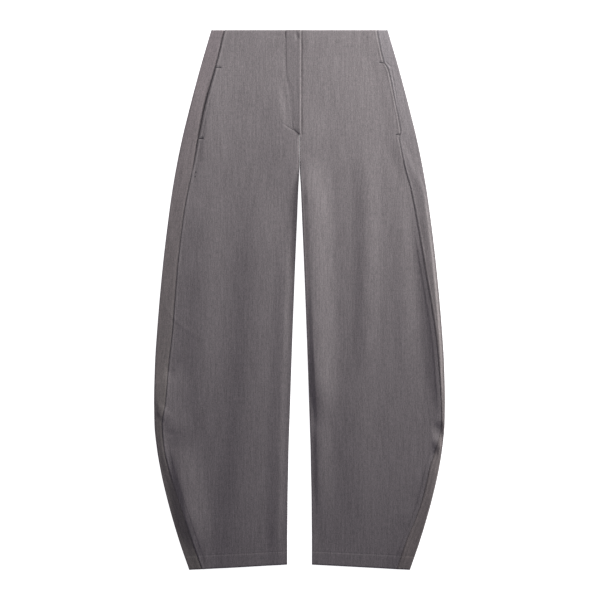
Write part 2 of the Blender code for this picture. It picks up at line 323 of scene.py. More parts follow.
def smooth_curve(xs, ys):
    """A function through these points that never overshoots between them."""
    xs, ys = np.asarray(xs, float), np.asarray(ys, float)
    slopes = np.diff(ys) / np.diff(xs)
    before, after = slopes[:-1], slopes[1:]
    same = before * after > 0
    total = np.where(same, before + after, 1.0)
    inner = np.where(same, 2 * before * after / total, 0.0)
    tangents = np.concatenate([slopes[:1], inner, slopes[-1:]])

    def read(at):
        at = np.clip(at, xs[0], xs[-1])
        index = np.clip(np.searchsorted(xs, at, side="right") - 1, 0, len(xs) - 2)
        span = xs[index + 1] - xs[index]
        s = (at - xs[index]) / span
        value = (1 + 2 * s) * (1 - s) ** 2 * ys[index] + s * (1 - s) ** 2 * span * tangents[index]
        value += s * s * (3 - 2 * s) * ys[index + 1] + s * s * (s - 1) * span * tangents[index + 1]
        return value

    return read


DOWNS = [row.down * MM for row in SECTIONS]
SIZES = {
    column: smooth_curve(DOWNS, [getattr(row, column) * MM for row in SECTIONS])
    for column in Section._fields
    if column != "down"
}
half_width, half_gap = SIZES["half_width"], SIZES["half_gap"]
fly_edge = smooth_curve(*np.array(FLY_EDGE).T * MM)


def seam_at(leg, down):
    """How far from the centre line the side seam lies on the front."""
    return half_width(down) - SIZES["seam_" + leg.name](down)


SLIT_END = 7 * MM
GAPE_REACH = 52 * MM


def slit_at(leg, down):
    """Half the gap along the side seam, which opens at the pocket."""
    opened = window(down, leg.pocket_top, leg.pocket_bottom, SLIT_END)
    gape = leg.gape * bump((down - leg.gape_middle) / GAPE_REACH)
    return 0.5 * PANEL_GAP + opened * (leg.open + gape)


def inner_edge(x, down):
    """Distance from the edge between the legs, and the direction away from it as (x, down)."""
    across = x - half_gap(down)
    above = np.maximum(CROTCH - down, 0.0)
    distance = np.maximum(np.hypot(across, above), 1e-9)
    away_x = np.where(above > 0, across / distance, 1.0)
    away_down = np.where(above > 0, -above / distance, 0.0)
    return np.where(above > 0, distance, across), away_x, away_down


def value_noise(seed, x, y, cell_x, cell_y):
    """Smooth noise from -1 to 1 with cells of this size."""
    grid = np.random.default_rng(seed).uniform(-1, 1, (NOISE_CELLS + 1, NOISE_CELLS + 1))
    u, v = x / cell_x + NOISE_SHIFT, y / cell_y + NOISE_SHIFT
    i, j = np.floor(u).astype(int), np.floor(v).astype(int)
    s, t = ease(u - i), ease(v - j)
    i, j = i % NOISE_CELLS, j % NOISE_CELLS
    low = grid[i, j] * (1 - s) + grid[i + 1, j] * s
    high = grid[i, j + 1] * (1 - s) + grid[i + 1, j + 1] * s
    return low * (1 - t) + high * t


def folds_at(leg, x, down):
    """The height that the long folds add."""
    total = np.zeros(np.broadcast(x, down).shape)
    for fold in FOLDS[leg.name]:
        share = (down / MM - fold.top) / (fold.bottom - fold.top)
        line = smooth_curve([0, 0.5, 1], [fold.x_top, fold.x_middle, fold.x_bottom])
        off = x / MM - line(share)
        width = np.where(off < 0, fold.inner, fold.outer)
        strength = window(down / MM, fold.top, fold.bottom, fold.fade)
        total = total + fold.height * strength * bump(off / width)
    return total * MM


def creases_at(leg, x, down):
    """The height that the short creases and dents add."""
    total = np.zeros(np.broadcast(x, down).shape)
    for crease in CREASES[leg.name]:
        along_x, along_down = crease.x_to - crease.x_from, crease.down_to - crease.down_from
        length = math.hypot(along_x, along_down)
        from_x, from_down = x / MM - crease.x_from, down / MM - crease.down_from
        share = (from_x * along_x + from_down * along_down) / length**2
        off = (from_x * along_down - from_down * along_x) / length
        off = off - crease.bow * np.sin(np.pi * np.clip(share, 0, 1))
        beyond = np.maximum(np.maximum(-share, share - 1), 0) * length
        ends = window(share, -CREASE_TAPER, 1 + CREASE_TAPER, 2 * CREASE_TAPER)
        total = total + crease.height * ends * bump(np.hypot(off, beyond) / crease.width)
    return total * MM


# The side seam: how far past the pocket its form lasts, how its edges turn, and where its lips and the
# step between front and strip run.
PAST_POCKET = 66 * MM
POCKET_FADE = 60 * MM
TURN_DEPTH = 0.4 * MM
TURN_START = 0.1 * MM
TURN_REACH = 1.5 * MM
POCKET_TURN_REACH = 1.2 * MM
LIP_MIDDLE = 2.8 * MM
STEP_MIDDLE = 1.2 * MM
STEP_REACH = 4.5 * MM


def seam_relief(leg, x, down):
    """The turned edges along the side seam, their lips and the print of the allowance."""
    off = x - seam_at(leg, down)
    from_edge = np.abs(off) - slit_at(leg, down)
    pocket = ease((leg.pocket_bottom + PAST_POCKET - down) / POCKET_FADE)
    depth = TURN_DEPTH + leg.turned * pocket
    turned = 1 - ease((from_edge + TURN_START) / (TURN_REACH + POCKET_TURN_REACH * pocket))
    lip = np.where(off < 0, leg.lip_front * pocket, leg.lip_back)
    over = leg.over_pocket * pocket + leg.over_rest * (1 - pocket)
    relief = lip * bump((from_edge - LIP_MIDDLE) / LIP_MIDDLE) - depth * turned
    relief = relief + np.where(off < 0, over, -over) * bump((from_edge - STEP_MIDDLE) / STEP_REACH)
    for line in PRINTS[leg.name]:
        shown = window(down, line.top * MM, line.bottom * MM, PRINT_FADE)
        inside = ease((off + line.inset * MM) / PRINT_EDGE + 0.5) * (1 - ease(off / PRINT_FALL))
        relief = relief + line.height * MM * shown * inside
    return relief


# Where the crest beside the side seam moves out: from, to, and how far it takes to move out and back.
CREST_SHIFTS = (200 * MM, 930 * MM, 120 * MM, 60 * MM)
CREST_LEAST = 4 * MM


def broad_height(leg, x, down, sizes):
    """Height of the front's face without its seams and creases."""
    from_gap = inner_edge(x, down)[0]
    from_side = half_width(down) - x
    side = SIZES["side_" + leg.name](down)
    laid = sizes.laid + folds_at(leg, x, down)
    edge = SIZES["edge_" + leg.name](down)
    near_gap = 1 - ease((from_gap - GAP_NOSE) / leg.gap_reach)
    near_side = 1 - ease((from_side - side / 2) / sizes.roll_reach)
    height = laid + near_gap * (edge - laid) + near_side * (side - laid)
    strip = SIZES["seam_" + leg.name](down)
    shift = np.maximum(strip - leg.crest_inset, 0) * window(down, *CREST_SHIFTS)
    off_crest = x - seam_at(leg, down) - shift
    width = np.where(off_crest < 0, leg.crest_reach, np.maximum(strip - side / 2 - shift, CREST_LEAST))
    height = height + SIZES["crest_" + leg.name](down) * bump(off_crest / width)
    return np.maximum(height, 2 * sizes.cloth + NEAREST_LAYERS)


# The fly: where it and its ditch end, where its edge grows soft, the mound beside its J, the opening at
# the waist and how the cloth sinks under the placket.
FLY_END = 206 * MM
FLY_END_FADE = 8 * MM
SOFT_FROM = 66 * MM
CRISP_FADE = 40 * MM
DITCH_END = 205 * MM
DITCH_FADE = 10 * MM
MOUND = Ridge(1.3, 148, 62)
MOUND_OUT = 17 * MM
MOUND_INNER = 15 * MM
MOUND_OUTER = 44 * MM
OPENING_END = 17 * MM
OPENING_FADE = 3 * MM
UNDER_DEPTH = 1.0 * MM
UNDER_START = 2.2 * MM
UNDER_REACH = 4 * MM


def fly_relief(leg, x, down):
    """How the fronts sink round the placket and along the centre seam below it."""
    above = ease((FLY_END - down) / FLY_END_FADE)
    seam = 1 - above
    if leg.name == "left":
        return ridge(FLY_STEP, x) * above - sunk(CENTRE_TURN_LEFT, x) * seam
    off = x - fly_edge(down)
    crisp = 1 - 0.95 * ease((down - SOFT_FROM) / CRISP_FADE)
    ditch = ridge(FLY_DITCH, off) * crisp * ease((DITCH_END - down) / DITCH_FADE)
    from_crest = off - MOUND_OUT
    across = bump(from_crest / np.where(from_crest < 0, MOUND_INNER, MOUND_OUTER))
    mound = across * ridge(MOUND, down)
    opened = ridge(FLY_OPENING, off) * ease((OPENING_END - down) / OPENING_FADE)
    under = UNDER_DEPTH * ease((-off - UNDER_START) / UNDER_REACH) * above
    return mound + ditch + opened - under - sunk(CENTRE_TURN_RIGHT, x) * seam


HEM_THICKER = 0.16 * MM
HEM_EDGE = 4 * MM


def hem_relief(down, sizes):
    """The doubled cloth of the hem, and its edge and the waist's edge rolling over."""
    past_line = down - LENGTH + sizes.hem
    doubled = HEM_THICKER * ease(past_line / HEM_EDGE + 0.5)
    return doubled + ridge(HEM_DITCH, past_line) - sunk(END_TURN, LENGTH - down) - sunk(END_TURN, down)


# How far from the side fold and the gap the creases and the seam take to reach full height, and then the
# rumples of the cloth: what is added to the seed, the size of a cell and the height.
CREASES_FROM_SIDE = 4 * MM
CREASES_FROM_GAP = 8 * MM
SEAM_FROM_SIDE = 2.5 * MM
Rumple = namedtuple("Rumple", "seed across along height")
BROAD_RUMPLE = Rumple(0, 15, 60, 0.10)
FINE_RUMPLE = Rumple(5, 6, 22, 0.04)
PLACKET_RUMPLE = Rumple(9, 9, 40, 0.10)


def rumpled(rumple, x, down, sign=0):
    """The height that a rumple adds."""
    seed = SEED + rumple.seed + sign
    return value_noise(seed, x, down, rumple.across * MM, rumple.along * MM) * rumple.height * MM


def front_height(leg, x, down, sizes):
    """Height of the front's face with all that shows on it."""
    from_side = half_width(down) - x - SIZES["side_" + leg.name](down) / 2
    from_gap = inner_edge(x, down)[0] - GAP_NOSE
    inside = ease(from_side / CREASES_FROM_SIDE) * ease(from_gap / CREASES_FROM_GAP)
    rumple = rumpled(BROAD_RUMPLE, x, down, leg.sign) + rumpled(FINE_RUMPLE, x, down, leg.sign)
    height = broad_height(leg, x, down, sizes) + inside * (creases_at(leg, x, down) + rumple)
    height = height + seam_relief(leg, x, down) * ease(from_side / SEAM_FROM_SIDE)
    return height + fly_relief(leg, x, down) + hem_relief(down, sizes)


def layer_heights(leg, x, down, sizes):
    """Heights of the outer and inner face of the laid cloth, which stays above the layer below it."""
    outer = front_height(leg, x, down, sizes)
    broad = broad_height(leg, x, down, sizes) - sizes.cloth
    inner = np.maximum(np.minimum(broad, outer - THINNEST), sizes.cloth + NEAREST_LAYERS / 2)
    return np.maximum(outer, inner + THINNEST), inner


HEM_CURVE = 160 * MM


def place(leg, x, down, z, sizes):
    """Points of the leg in the row frame. The hem rises a little towards the inner leg."""
    width, gap = half_width(down), half_gap(down)
    inward = np.clip((width - x) / (width - gap), 0, 1)
    lift = sizes.hem_rise * inward * ease((down - LENGTH + HEM_CURVE) / HEM_CURVE)
    return np.stack(np.broadcast_arrays(leg.sign * x, CAD_HIGH.y - down + lift, z), axis=-1)


def both_faces(leg, x, down, heights, sizes):
    """Points of the outer and inner face at these heights."""
    return tuple(place(leg, x, down, z, sizes) for z in heights)


def spread(start, end, steps):
    return np.linspace(start, end, steps + 1)


# Where the rows of a panel lie closer: from, to and apart.
FINE_ROWS = [
    (6 * MM, 20 * MM, 1.4 * MM),
    (172 * MM, 214 * MM, 1.1 * MM),
    (CROTCH - 12 * MM, CROTCH + 6 * MM, 1 * MM),
    (696 * MM, 812 * MM, 2.4 * MM),
    (LENGTH - 30 * MM, LENGTH - 20 * MM, 0.9 * MM),
]
POCKET_ROWS = 9 * MM
EVEN_ROWS = 240
FREE_OF_FINE = 1.6 * MM
LEAST_ROW = 0.25 * MM


def levels(leg):
    """How far below the waist a panel's rows lie: evenly, and closer where the detail is fine."""
    fine = [END_STATIONS, LENGTH - END_STATIONS, np.array([CROTCH])]
    for middle in (leg.pocket_top, leg.pocket_bottom):
        fine.append(np.arange(middle - POCKET_ROWS, middle + POCKET_ROWS, 1 * MM))
    fine = np.concatenate(fine + [np.arange(*rows) for rows in FINE_ROWS])
    even = spread(0, LENGTH, EVEN_ROWS)
    free = even[np.abs(even[:, None] - fine[None, :]).min(1) > FREE_OF_FINE]
    rows = np.sort(np.concatenate([fine, free]))
    keep = np.concatenate([[True], np.diff(rows) > LEAST_ROW])
    return rows[keep]


def add_object(name, data):
    thing = bpy.data.objects.new(name, data)
    bpy.context.scene.collection.objects.link(thing)
    return thing


SHARP_ANGLE = math.radians(55)


def wall_mesh(name, outer, inner, along, material):
    """A closed wall of cloth from two grids of points, with the cut's own map in metres."""
    rows, columns = outer.shape[:2]
    count = rows * columns
    index = np.arange(count).reshape(rows, columns)
    quads = np.stack([index[:-1, :-1], index[:-1, 1:], index[1:, 1:], index[1:, :-1]], axis=-1)
    quads = quads.reshape(-1, 4)
    rim = np.concatenate([index[0, :-1], index[:-1, -1], index[-1, :0:-1], index[:0:-1, 0]])
    after = np.roll(rim, -1)
    walls = np.stack([rim, rim + count, after + count, after], axis=-1)
    faces = np.concatenate([quads, quads[:, ::-1] + count, walls])
    points = np.concatenate([outer.reshape(-1, 3), inner.reshape(-1, 3)])
    corner = points[faces]
    across, up = corner[:, 2] - corner[:, 0], corner[:, 3] - corner[:, 1]
    if (corner.mean(1) * np.cross(across, up)).sum() < 0:
        faces = faces[:, ::-1]
    mesh = bpy.data.meshes.new(name)
    mesh.from_pydata(points.tolist(), [], faces.tolist())
    cut = np.concatenate([along.reshape(-1, 2)] * 2)
    layer = mesh.uv_layers.new(name="cut")
    layer.data.foreach_set("uv", cut[faces.reshape(-1)].astype(np.float32).ravel())
    mesh.shade_smooth()
    mesh.set_sharp_from_angle(angle=SHARP_ANGLE)
    mesh.materials.append(material)
    return add_object(name, mesh)


def cut_map(leg, outer, from_seam=False):
    """The place of each point on the flat cut: distance round the leg, and distance along it."""
    step = np.linalg.norm(np.diff(outer[..., [0, 2]], axis=1), axis=-1)
    start = np.abs(outer[:, :1, 0])
    round_it = np.concatenate([start, start + np.cumsum(step, axis=1)], axis=1)
    if from_seam:
        round_it = round_it[:, -1:] - round_it
    return np.stack([leg.sign * round_it, outer[..., 1]], axis=-1)


def front_columns(leg, downs):
    """Distances out from the centre line of the stations across a front, at each level."""
    start = half_gap(downs) + GAP_NOSE
    stop = seam_at(leg, downs) - slit_at(leg, downs)
    near = np.cumsum([0] + [GAP_STEP] * GAP_STEPS[leg.name]) * MM
    first, last = start[:, None] + near, stop[:, None] - SEAM_STATIONS[::-1]
    steps = np.linspace(0, 1, 62)[1:-1]
    middle = first[:, -1:] + (last[:, :1] - first[:, -1:]) * steps
    return np.concatenate([first, middle, last], axis=1)


def front_wall(leg, sizes):
    """Outer and inner points of a front panel."""
    downs = levels(leg)
    flat = front_columns(leg, downs)
    down = downs[:, None]
    heights = layer_heights(leg, flat, down, sizes)
    faces = both_faces(leg, flat, down, heights, sizes)
    turns = np.linspace(0, 0.5 * np.pi, 9)[:-1]
    noses = [nose_points(leg, downs, turn, heights[0][:, 0], sizes) for turn in turns]
    noses = [np.stack(face, axis=1) for face in zip(*noses)]
    return tuple(np.concatenate(pair, axis=1) for pair in zip(noses, faces))


def nose_points(leg, downs, turn, top, sizes, side=1):
    """Outer and inner points at one turn round the fold between the legs, fading out above the crotch."""
    x = half_gap(downs) + GAP_NOSE * (1 - math.cos(turn))
    distance, away_x, away_down = inner_edge(x, downs)
    cosine = np.maximum(0.0, 1 - distance / GAP_NOSE)
    sine = np.sqrt(1 - cosine * cosine)
    start = GAP_NOSE + side * PANEL_GAP / 2
    rise = top - start if side > 0 else start
    outer_z = start + side * rise * sine
    inner_z = start + side * (rise - sizes.cloth) * sine
    if side > 0:
        laid_outer, laid_inner = layer_heights(leg, x, downs, sizes)
        outer_z = np.where(cosine > 0, outer_z, laid_outer)
        inner_z = np.maximum(np.where(cosine > 0, inner_z, laid_inner), sizes.cloth + NEAREST_LAYERS / 2)
    shift = sizes.cloth * cosine
    outer = place(leg, x, downs, outer_z, sizes)
    return outer, place(leg, x + shift * away_x, downs + shift * away_down, inner_z, sizes)


LEAST_INNER = 0.15 * MM


def back_wall(leg, sizes):
    """Outer and inner points of a back panel: its underside, its side fold and its strip to the seam."""
    downs = levels(leg)
    turns = np.linspace(0, 0.5 * np.pi, 6)[:-1]
    pairs = [nose_points(leg, downs, turn, None, sizes, side=-1) for turn in turns]
    radius = SIZES["side_" + leg.name](downs) / 2
    side = half_width(downs) - radius
    start = half_gap(downs) + GAP_NOSE
    for share in np.linspace(0, 1, 28)[:-1]:
        x = start + (side - start) * share
        pairs.append(both_faces(leg, x, downs, (0.0, sizes.cloth), sizes))
    for turn in np.linspace(-0.5 * np.pi, 0.5 * np.pi, 17):
        points = []
        for reach in (radius, np.maximum(radius - sizes.cloth, LEAST_INNER)):
            x = side + reach * math.cos(turn)
            points.append(place(leg, x, downs, radius + reach * math.sin(turn), sizes))
        pairs.append(tuple(points))
    stop = seam_at(leg, downs) + slit_at(leg, downs)
    near = STRIP_STATIONS[-1]
    far = side - stop
    stations = [stop + near + (far - near) * (1 - share) for share in np.linspace(0, 1, 19)[1:]]
    stations += [stop + offset for offset in STRIP_STATIONS[-2::-1]]
    for x in stations:
        pairs.append(both_faces(leg, x, downs, layer_heights(leg, x, downs, sizes), sizes))
    return tuple(np.stack(face, axis=1) for face in zip(*pairs))


# The placket: where its edge is soft, how wide it rises, how full it is, how its fold turns, and the dip
# over the hook at its top. Its rows and stations are closest together at its edges.
SOFT_EDGE = (SOFT_FROM, 190 * MM, 44 * MM, 16 * MM)
EDGE_RISE = 3.0 * MM
PLACKET_LEAST = 0.2 * MM
PLACKET_FULL = 1.9 * MM
FOLD_DEPTH = 1.2 * MM
FOLD_RADIUS = 1.3 * MM
HOOK_DIP = Ridge(-1.3, 12.5, 9)
HOOK_DIP_X = -4.5 * MM
HOOK_DIP_REACH = 6 * MM
PLACKET_LEAST_CLOTH = 0.25 * MM
PLACKET_OVERLAP = 0.1 * MM
PLACKET_ROWS = [(4.4 * MM, 176 * MM, 1.8 * MM), (176 * MM, 199.4 * MM, 0.9 * MM)]
PLACKET_STATIONS = [(0, 0.28, 13), (0.28, 0.84, 22), (0.84, 1, 13)]


def placket_wall(sizes):
    """Outer and inner points of the placket, which sinks into the right front along its stitched edge."""
    downs = np.concatenate([END_STATIONS, *(np.arange(*rows) for rows in PLACKET_ROWS)])
    shares = np.concatenate([np.linspace(*part)[:-1] for part in PLACKET_STATIONS] + [[1.0]])
    down = downs[:, None]
    start = -fly_edge(down)
    x = start + (FLY_OVERLAP - start) * shares
    below = []
    for height in (broad_height, lambda *at: layer_heights(*at)[0]):
        sides = [height(leg, np.maximum(leg.sign * x, CENTRE_LEAST), down, sizes) for leg in LEGS]
        below.append(np.where(x < 0, *sides))
    base, under = below
    from_edge, from_fold = x - start, FLY_OVERLAP - x
    soft = window(down, *SOFT_EDGE)
    sink = FLY_SINK * (1 - 0.8 * soft)
    rise = ease(from_edge / (EDGE_RISE / (1 - 0.78 * soft)))
    plateau = PLACKET_LEAST + PLACKET_FULL * shares + ridge(PLACKET_FOLD, from_fold)
    round_fold = 1 - np.clip(from_fold / FOLD_RADIUS, 0, 1)
    outer_z = base - sink + rise * (sink + plateau + rumpled(PLACKET_RUMPLE, x, down))
    outer_z = outer_z - FOLD_DEPTH * (1 - np.sqrt(1 - round_fold**2)) - sunk(PLACKET_END_TURN, down)
    outer_z = outer_z + ridge(HOOK_DIP, down) * bump((x - HOOK_DIP_X) / HOOK_DIP_REACH)
    inner_z = np.minimum(outer_z - PLACKET_LEAST_CLOTH, under + PLACKET_OVERLAP)
    outer, inner = both_faces(RIGHT, np.abs(x), down, (outer_z, inner_z), sizes)
    outer[..., 0], inner[..., 0] = x, x
    return outer, inner


# The facings: half their width in millimetres, how far they reach past the slit, how far they lie below
# the front's outer and inner face, their thickness and how far above the back they stay.
FACING_HALF = 9
FACING_PAST = 12 * MM
FACING_BELOW = 0.9 * MM
FACING_DROP = 0.35 * MM
FACING_CLOTH = 0.8 * MM
FACING_FREE = 0.1 * MM


def facing_wall(leg, sizes):
    """Outer and inner points of the strip that shows in a pocket's slit."""
    down = spread(leg.pocket_top - FACING_PAST, leg.pocket_bottom + FACING_PAST, 80)[:, None]
    x = seam_at(leg, down) + spread(-FACING_HALF, FACING_HALF, 24) * MM
    shown = front_height(leg, x, down, sizes) - FACING_BELOW
    outer_z = np.minimum(broad_height(leg, x, down, sizes) - (sizes.cloth + FACING_DROP), shown)
    lower = np.maximum(outer_z - FACING_CLOTH, sizes.cloth + FACING_FREE)
    return both_faces(leg, x, down, (np.maximum(outer_z, lower + THINNEST), lower), sizes)


def feed(tree, socket, value):
    """Link a node's input to another node's output, or give it a plain value."""
    if isinstance(value, bpy.types.Node):
        value = value.outputs[0]
    if isinstance(value, bpy.types.NodeSocket):
        tree.links.new(value, socket)
    else:
        socket.default_value = value


def set_inputs(tree, node, **inputs):
    """Feed a node's inputs by name."""
    for name, value in inputs.items():
        feed(tree, node.inputs[name.replace("_", " ")], value)


def add_node(tree, kind, settings=None, **inputs):
    """A shader or geometry node with its settings, and its inputs set or linked by name."""
    node = tree.nodes.new(kind)
    for name, value in (settings or {}).items():
        setattr(node, name, value)
    set_inputs(tree, node, **inputs)
    return node


def sum_node(tree, operation, *values, kind="ShaderNodeMath"):
    """The result of one sum on numbers or linked values."""
    node = add_node(tree, kind, {"operation": operation})
    for socket, value in zip(node.inputs, values):
        feed(tree, socket, value)
    return node


def blend(tree, share, low, high):
    """A colour between low and high."""
    mix = add_node(tree, "ShaderNodeMix", {"data_type": "RGBA"}, Factor=share, A=low, B=high)
    return mix.outputs["Result"]


def scaled(tree, colour, shade):
    """A colour made lighter or darker."""
    return add_node(tree, "ShaderNodeVectorMath", {"operation": "SCALE"}, Vector=colour, Scale=shade)


def bumps(tree, strength, distance, height):
    """The direction of a surface with a fine relief."""
    return add_node(tree, "ShaderNodeBump", Strength=strength, Distance=distance, Height=height)


def cell_noise(tree, cut, width, length, detail):
    """Noise whose cells are this wide and long on the cut, in metres."""
    cells = (1 / width, 1 / length, 1)
    mapping = add_node(tree, "ShaderNodeMapping", Vector=cut, Scale=cells)
    noise = add_node(
        tree, "ShaderNodeTexNoise", {"noise_dimensions": "2D"}, Vector=mapping,
        Scale=1.0, Detail=detail, Roughness=0.55,
    )
    return noise.outputs["Fac"]


def new_material(name):
    material = bpy.data.materials.new(name)
    material.use_nodes = True
    tree = material.node_tree
    tree.nodes.clear()
    shader = tree.nodes.new("ShaderNodeBsdfPrincipled")
    output = tree.nodes.new("ShaderNodeOutputMaterial")
    tree.links.new(shader.outputs[0], output.inputs[0])
    return material, tree, shader


# How strongly each part of the cloth's pattern lightens and darkens it.
SUITING = dict(slub=0.44, yarn=0.50, fleck=0.66, twill=0.10, cloud=0.12)
TWILL_ANGLE = math.radians(58)
COOL_YARN = (0.975, 1.015, 1.005, 1)
WARM_YARN = (1.025, 0.985, 0.995, 1)


def painted_sheen_along_leg(tree, cut, upper, lower):
    """A colour that runs from upper at the waist to lower at the hem, as painted sheen and shade tint."""
    height = add_node(tree, "ShaderNodeSeparateXYZ", Vector=cut).outputs["Y"]
    share = sum_node(tree, "MULTIPLY_ADD", height, 1 / LENGTH, 0.5)
    return blend(tree, share, (*lower, 1), (*upper, 1))


def suiting_material(name, colour, lower=None):
    """Melange twill: lengthwise slubs and yarns, light and dark flecks, and a fine diagonal rib."""
    material, tree, shader = new_material(name)
    cut = add_node(tree, "ShaderNodeUVMap", {"uv_map": "cut"})
    slub = cell_noise(tree, cut, 3.4 * MM, 52 * MM, 2.0)
    yarn = cell_noise(tree, cut, 1.7 * MM, 8 * MM, 1.0)
    fleck = cell_noise(tree, cut, 1.5 * MM, 2.4 * MM, 1.0)
    cloud = cell_noise(tree, cut, 60 * MM, 90 * MM, 3.0)
    diagonal = add_node(tree, "ShaderNodeMapping", Vector=cut, Rotation=(0, 0, TWILL_ANGLE))
    twill = add_node(
        tree, "ShaderNodeTexWave", Vector=diagonal, Scale=290.0, Distortion=0.8,
        Detail=1.0, Detail_Scale=2.0,
    ).outputs["Fac"]
    tone = 1.0
    for value, strength in zip((slub, yarn, fleck, twill, cloud), SUITING.values()):
        swing = sum_node(tree, "MULTIPLY_ADD", value, strength, -0.5 * strength)
        tone = sum_node(tree, "ADD", swing, tone)
    warm = blend(tree, yarn, COOL_YARN, WARM_YARN)
    # Given a lower colour, the cloth's colour shifts from waist to hem: painted sheen and shade tint.
    painted_sheen = painted_sheen_along_leg(tree, cut, colour, lower or colour)
    tint = sum_node(tree, "MULTIPLY", warm, painted_sheen, kind="ShaderNodeVectorMath")
    ribs = sum_node(tree, "MULTIPLY_ADD", twill, 0.55, sum_node(tree, "MULTIPLY", yarn, 0.9))
    height = sum_node(tree, "MULTIPLY_ADD", fleck, 0.6, ribs)
    set_inputs(
        tree, shader, Base_Color=scaled(tree, tint, tone),
        Roughness=sum_node(tree, "MULTIPLY_ADD", fleck, 0.16, 0.74),
        Normal=bumps(tree, 0.35, 0.25 * MM, height), Specular_IOR_Level=0.22,
        Sheen_Weight=0.10, Sheen_Roughness=0.45, Sheen_Tint=(0.95, 0.90, 0.93, 1),
    )
    return material


def grained_material(name, colour, scale, swing, base):
    """A material whose colour varies with a fine grain, and that grain."""
    material, tree, shader = new_material(name)
    spot = add_node(tree, "ShaderNodeTexCoord").outputs["Object"]
    noise = add_node(tree, "ShaderNodeTexNoise", Vector=spot, Scale=scale, Detail=2.0)
    grain = noise.outputs["Fac"]
    shade = sum_node(tree, "MULTIPLY_ADD", grain, swing, base)
    set_inputs(tree, shader, Base_Color=scaled(tree, tuple(colour), shade))
    return material, tree, shader, grain


def thread_material(colour):
    """Twisted polyester thread with a slight gloss; its dark colour is partly painted shade for the pinch
    round the bar tacks.
    """
    material, tree, shader, strand = grained_material("matching_thread", colour, 2400.0, 0.7, 0.65)
    rough = sum_node(tree, "MULTIPLY_ADD", strand, 0.2, 0.45)
    set_inputs(tree, shader, Roughness=rough, Normal=bumps(tree, 0.3, 0.05 * MM, strand))
    return material


def floor_material(colour, glow):
    """A pale, evenly lit surface."""
    material, tree, shader, _ = grained_material("pale_surface", colour, 3.0, 0.02, 0.99)
    set_inputs(
        tree, shader, Roughness=0.9, Specular_IOR_Level=0.1,
        Emission_Color=(1, 1, 1, 1), Emission_Strength=glow,
    )
    return material


STITCH_WOBBLE = 0.06


def stitch_group():
    """Geometry nodes that lay one stitch after another along a line."""
    group = bpy.data.node_groups.new("stitch_row", "GeometryNodeTree")
    kinds = {"Geometry": "Geometry", "Spacing": "Float", "Length": "Float", "Thickness": "Float"}
    kinds.update({"Turn": "Float", "Seed": "Int", "Thread": "Material"})
    for name, kind in kinds.items():
        group.interface.new_socket(name, in_out="INPUT", socket_type="NodeSocket" + kind)
    group.interface.new_socket("Geometry", in_out="OUTPUT", socket_type="NodeSocketGeometry")
    given = group.nodes.new("NodeGroupInput").outputs
    line = add_node(group, "GeometryNodeMeshToCurve", Mesh=given["Geometry"])
    points = add_node(
        group, "GeometryNodeCurveToPoints", {"mode": "LENGTH"}, Curve=line, Length=given["Spacing"],
    )
    facing = add_node(
        group, "FunctionNodeAlignRotationToVector", {"axis": "X", "pivot_axis": "Z"},
        Vector=points.outputs["Tangent"],
    )
    wobble = add_node(group, "FunctionNodeRandomValue", Seed=given["Seed"])
    wobble.inputs[2].default_value = -STITCH_WOBBLE
    wobble.inputs[3].default_value = STITCH_WOBBLE
    turn = sum_node(group, "ADD", given["Turn"], wobble.outputs[1])
    about = add_node(group, "ShaderNodeCombineXYZ", Z=turn)
    as_turn = add_node(group, "FunctionNodeEulerToRotation", Euler=about)
    turned = add_node(
        group, "FunctionNodeRotateRotation", {"rotation_space": "LOCAL"},
        Rotation=facing, Rotate_By=as_turn,
    )
    bead = add_node(group, "GeometryNodeMeshUVSphere", Segments=8, Rings=6, Radius=0.5)
    thick = given["Thickness"]
    size = add_node(group, "ShaderNodeCombineXYZ", X=given["Length"], Y=thick, Z=thick)
    stitch = add_node(group, "GeometryNodeTransform", Geometry=bead, Scale=size)
    laid = add_node(
        group, "GeometryNodeInstanceOnPoints", Points=points.outputs["Points"],
        Instance=stitch, Rotation=turned,
    )
    real = add_node(group, "GeometryNodeRealizeInstances", Geometry=laid)
    smooth = add_node(group, "GeometryNodeSetShadeSmooth", Geometry=real)
    finished = add_node(group, "GeometryNodeSetMaterial", Geometry=smooth, Material=given["Thread"])
    add_node(group, "NodeGroupOutput", Geometry=finished)
    return group


def stitched(name, paths, group, **settings):
    """A plain mesh of the stitches along these lines."""
    points, edges = [], []
    for path in paths:
        edges += [(len(points) + i, len(points) + i + 1) for i in range(len(path) - 1)]
        points += [tuple(p) for p in path]
    mesh = bpy.data.meshes.new(name + "_line")
    mesh.from_pydata(points, edges, [])
    line = add_object(name + "_line", mesh)
    modifier = line.modifiers.new("stitches", "NODES")
    modifier.node_group = group
    sockets = {s.name: s.identifier for s in group.interface.items_tree if s.in_out == "INPUT"}
    for key, value in settings.items():
        modifier[sockets[key]] = value
    laid = line.evaluated_get(bpy.context.evaluated_depsgraph_get())
    result = bpy.data.meshes.new_from_object(laid)
    result.name = name
    line.modifiers.remove(modifier)
    bpy.data.objects.remove(line, do_unlink=True)
    if not result.polygons:
        raise RuntimeError(f"no stitches were laid for {name}")
    return add_object(name, result)


def on_front(leg, xs, downs, sizes, lift):
    """A line of points just above a front."""
    return place(leg, xs, downs, front_height(leg, xs, downs, sizes) + lift, sizes)


CUT_DOWNS = spread(0, LENGTH, 200)


def cut_size(widths, downs):
    """The width and length of a cut piece and its area, from its width at each distance down."""
    area = (np.diff(downs) * (widths[1:] + widths[:-1]) / 2).sum()
    return (float(widths.max()), float(downs[-1])), float(area)


def lay_cloth(name, wall, along, material, slot, rests_on, flat, area=None):
    """Lay a piece of cloth in place of the solid with this name."""
    piece = wall_mesh(name + "_cloth", *wall, along, material)
    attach(piece, "root")
    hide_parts(name)


def trouser_settings():
    scene = bpy.context.scene
    return scene.trouser_sizes, scene.trouser_colours, scene.trouser_studio


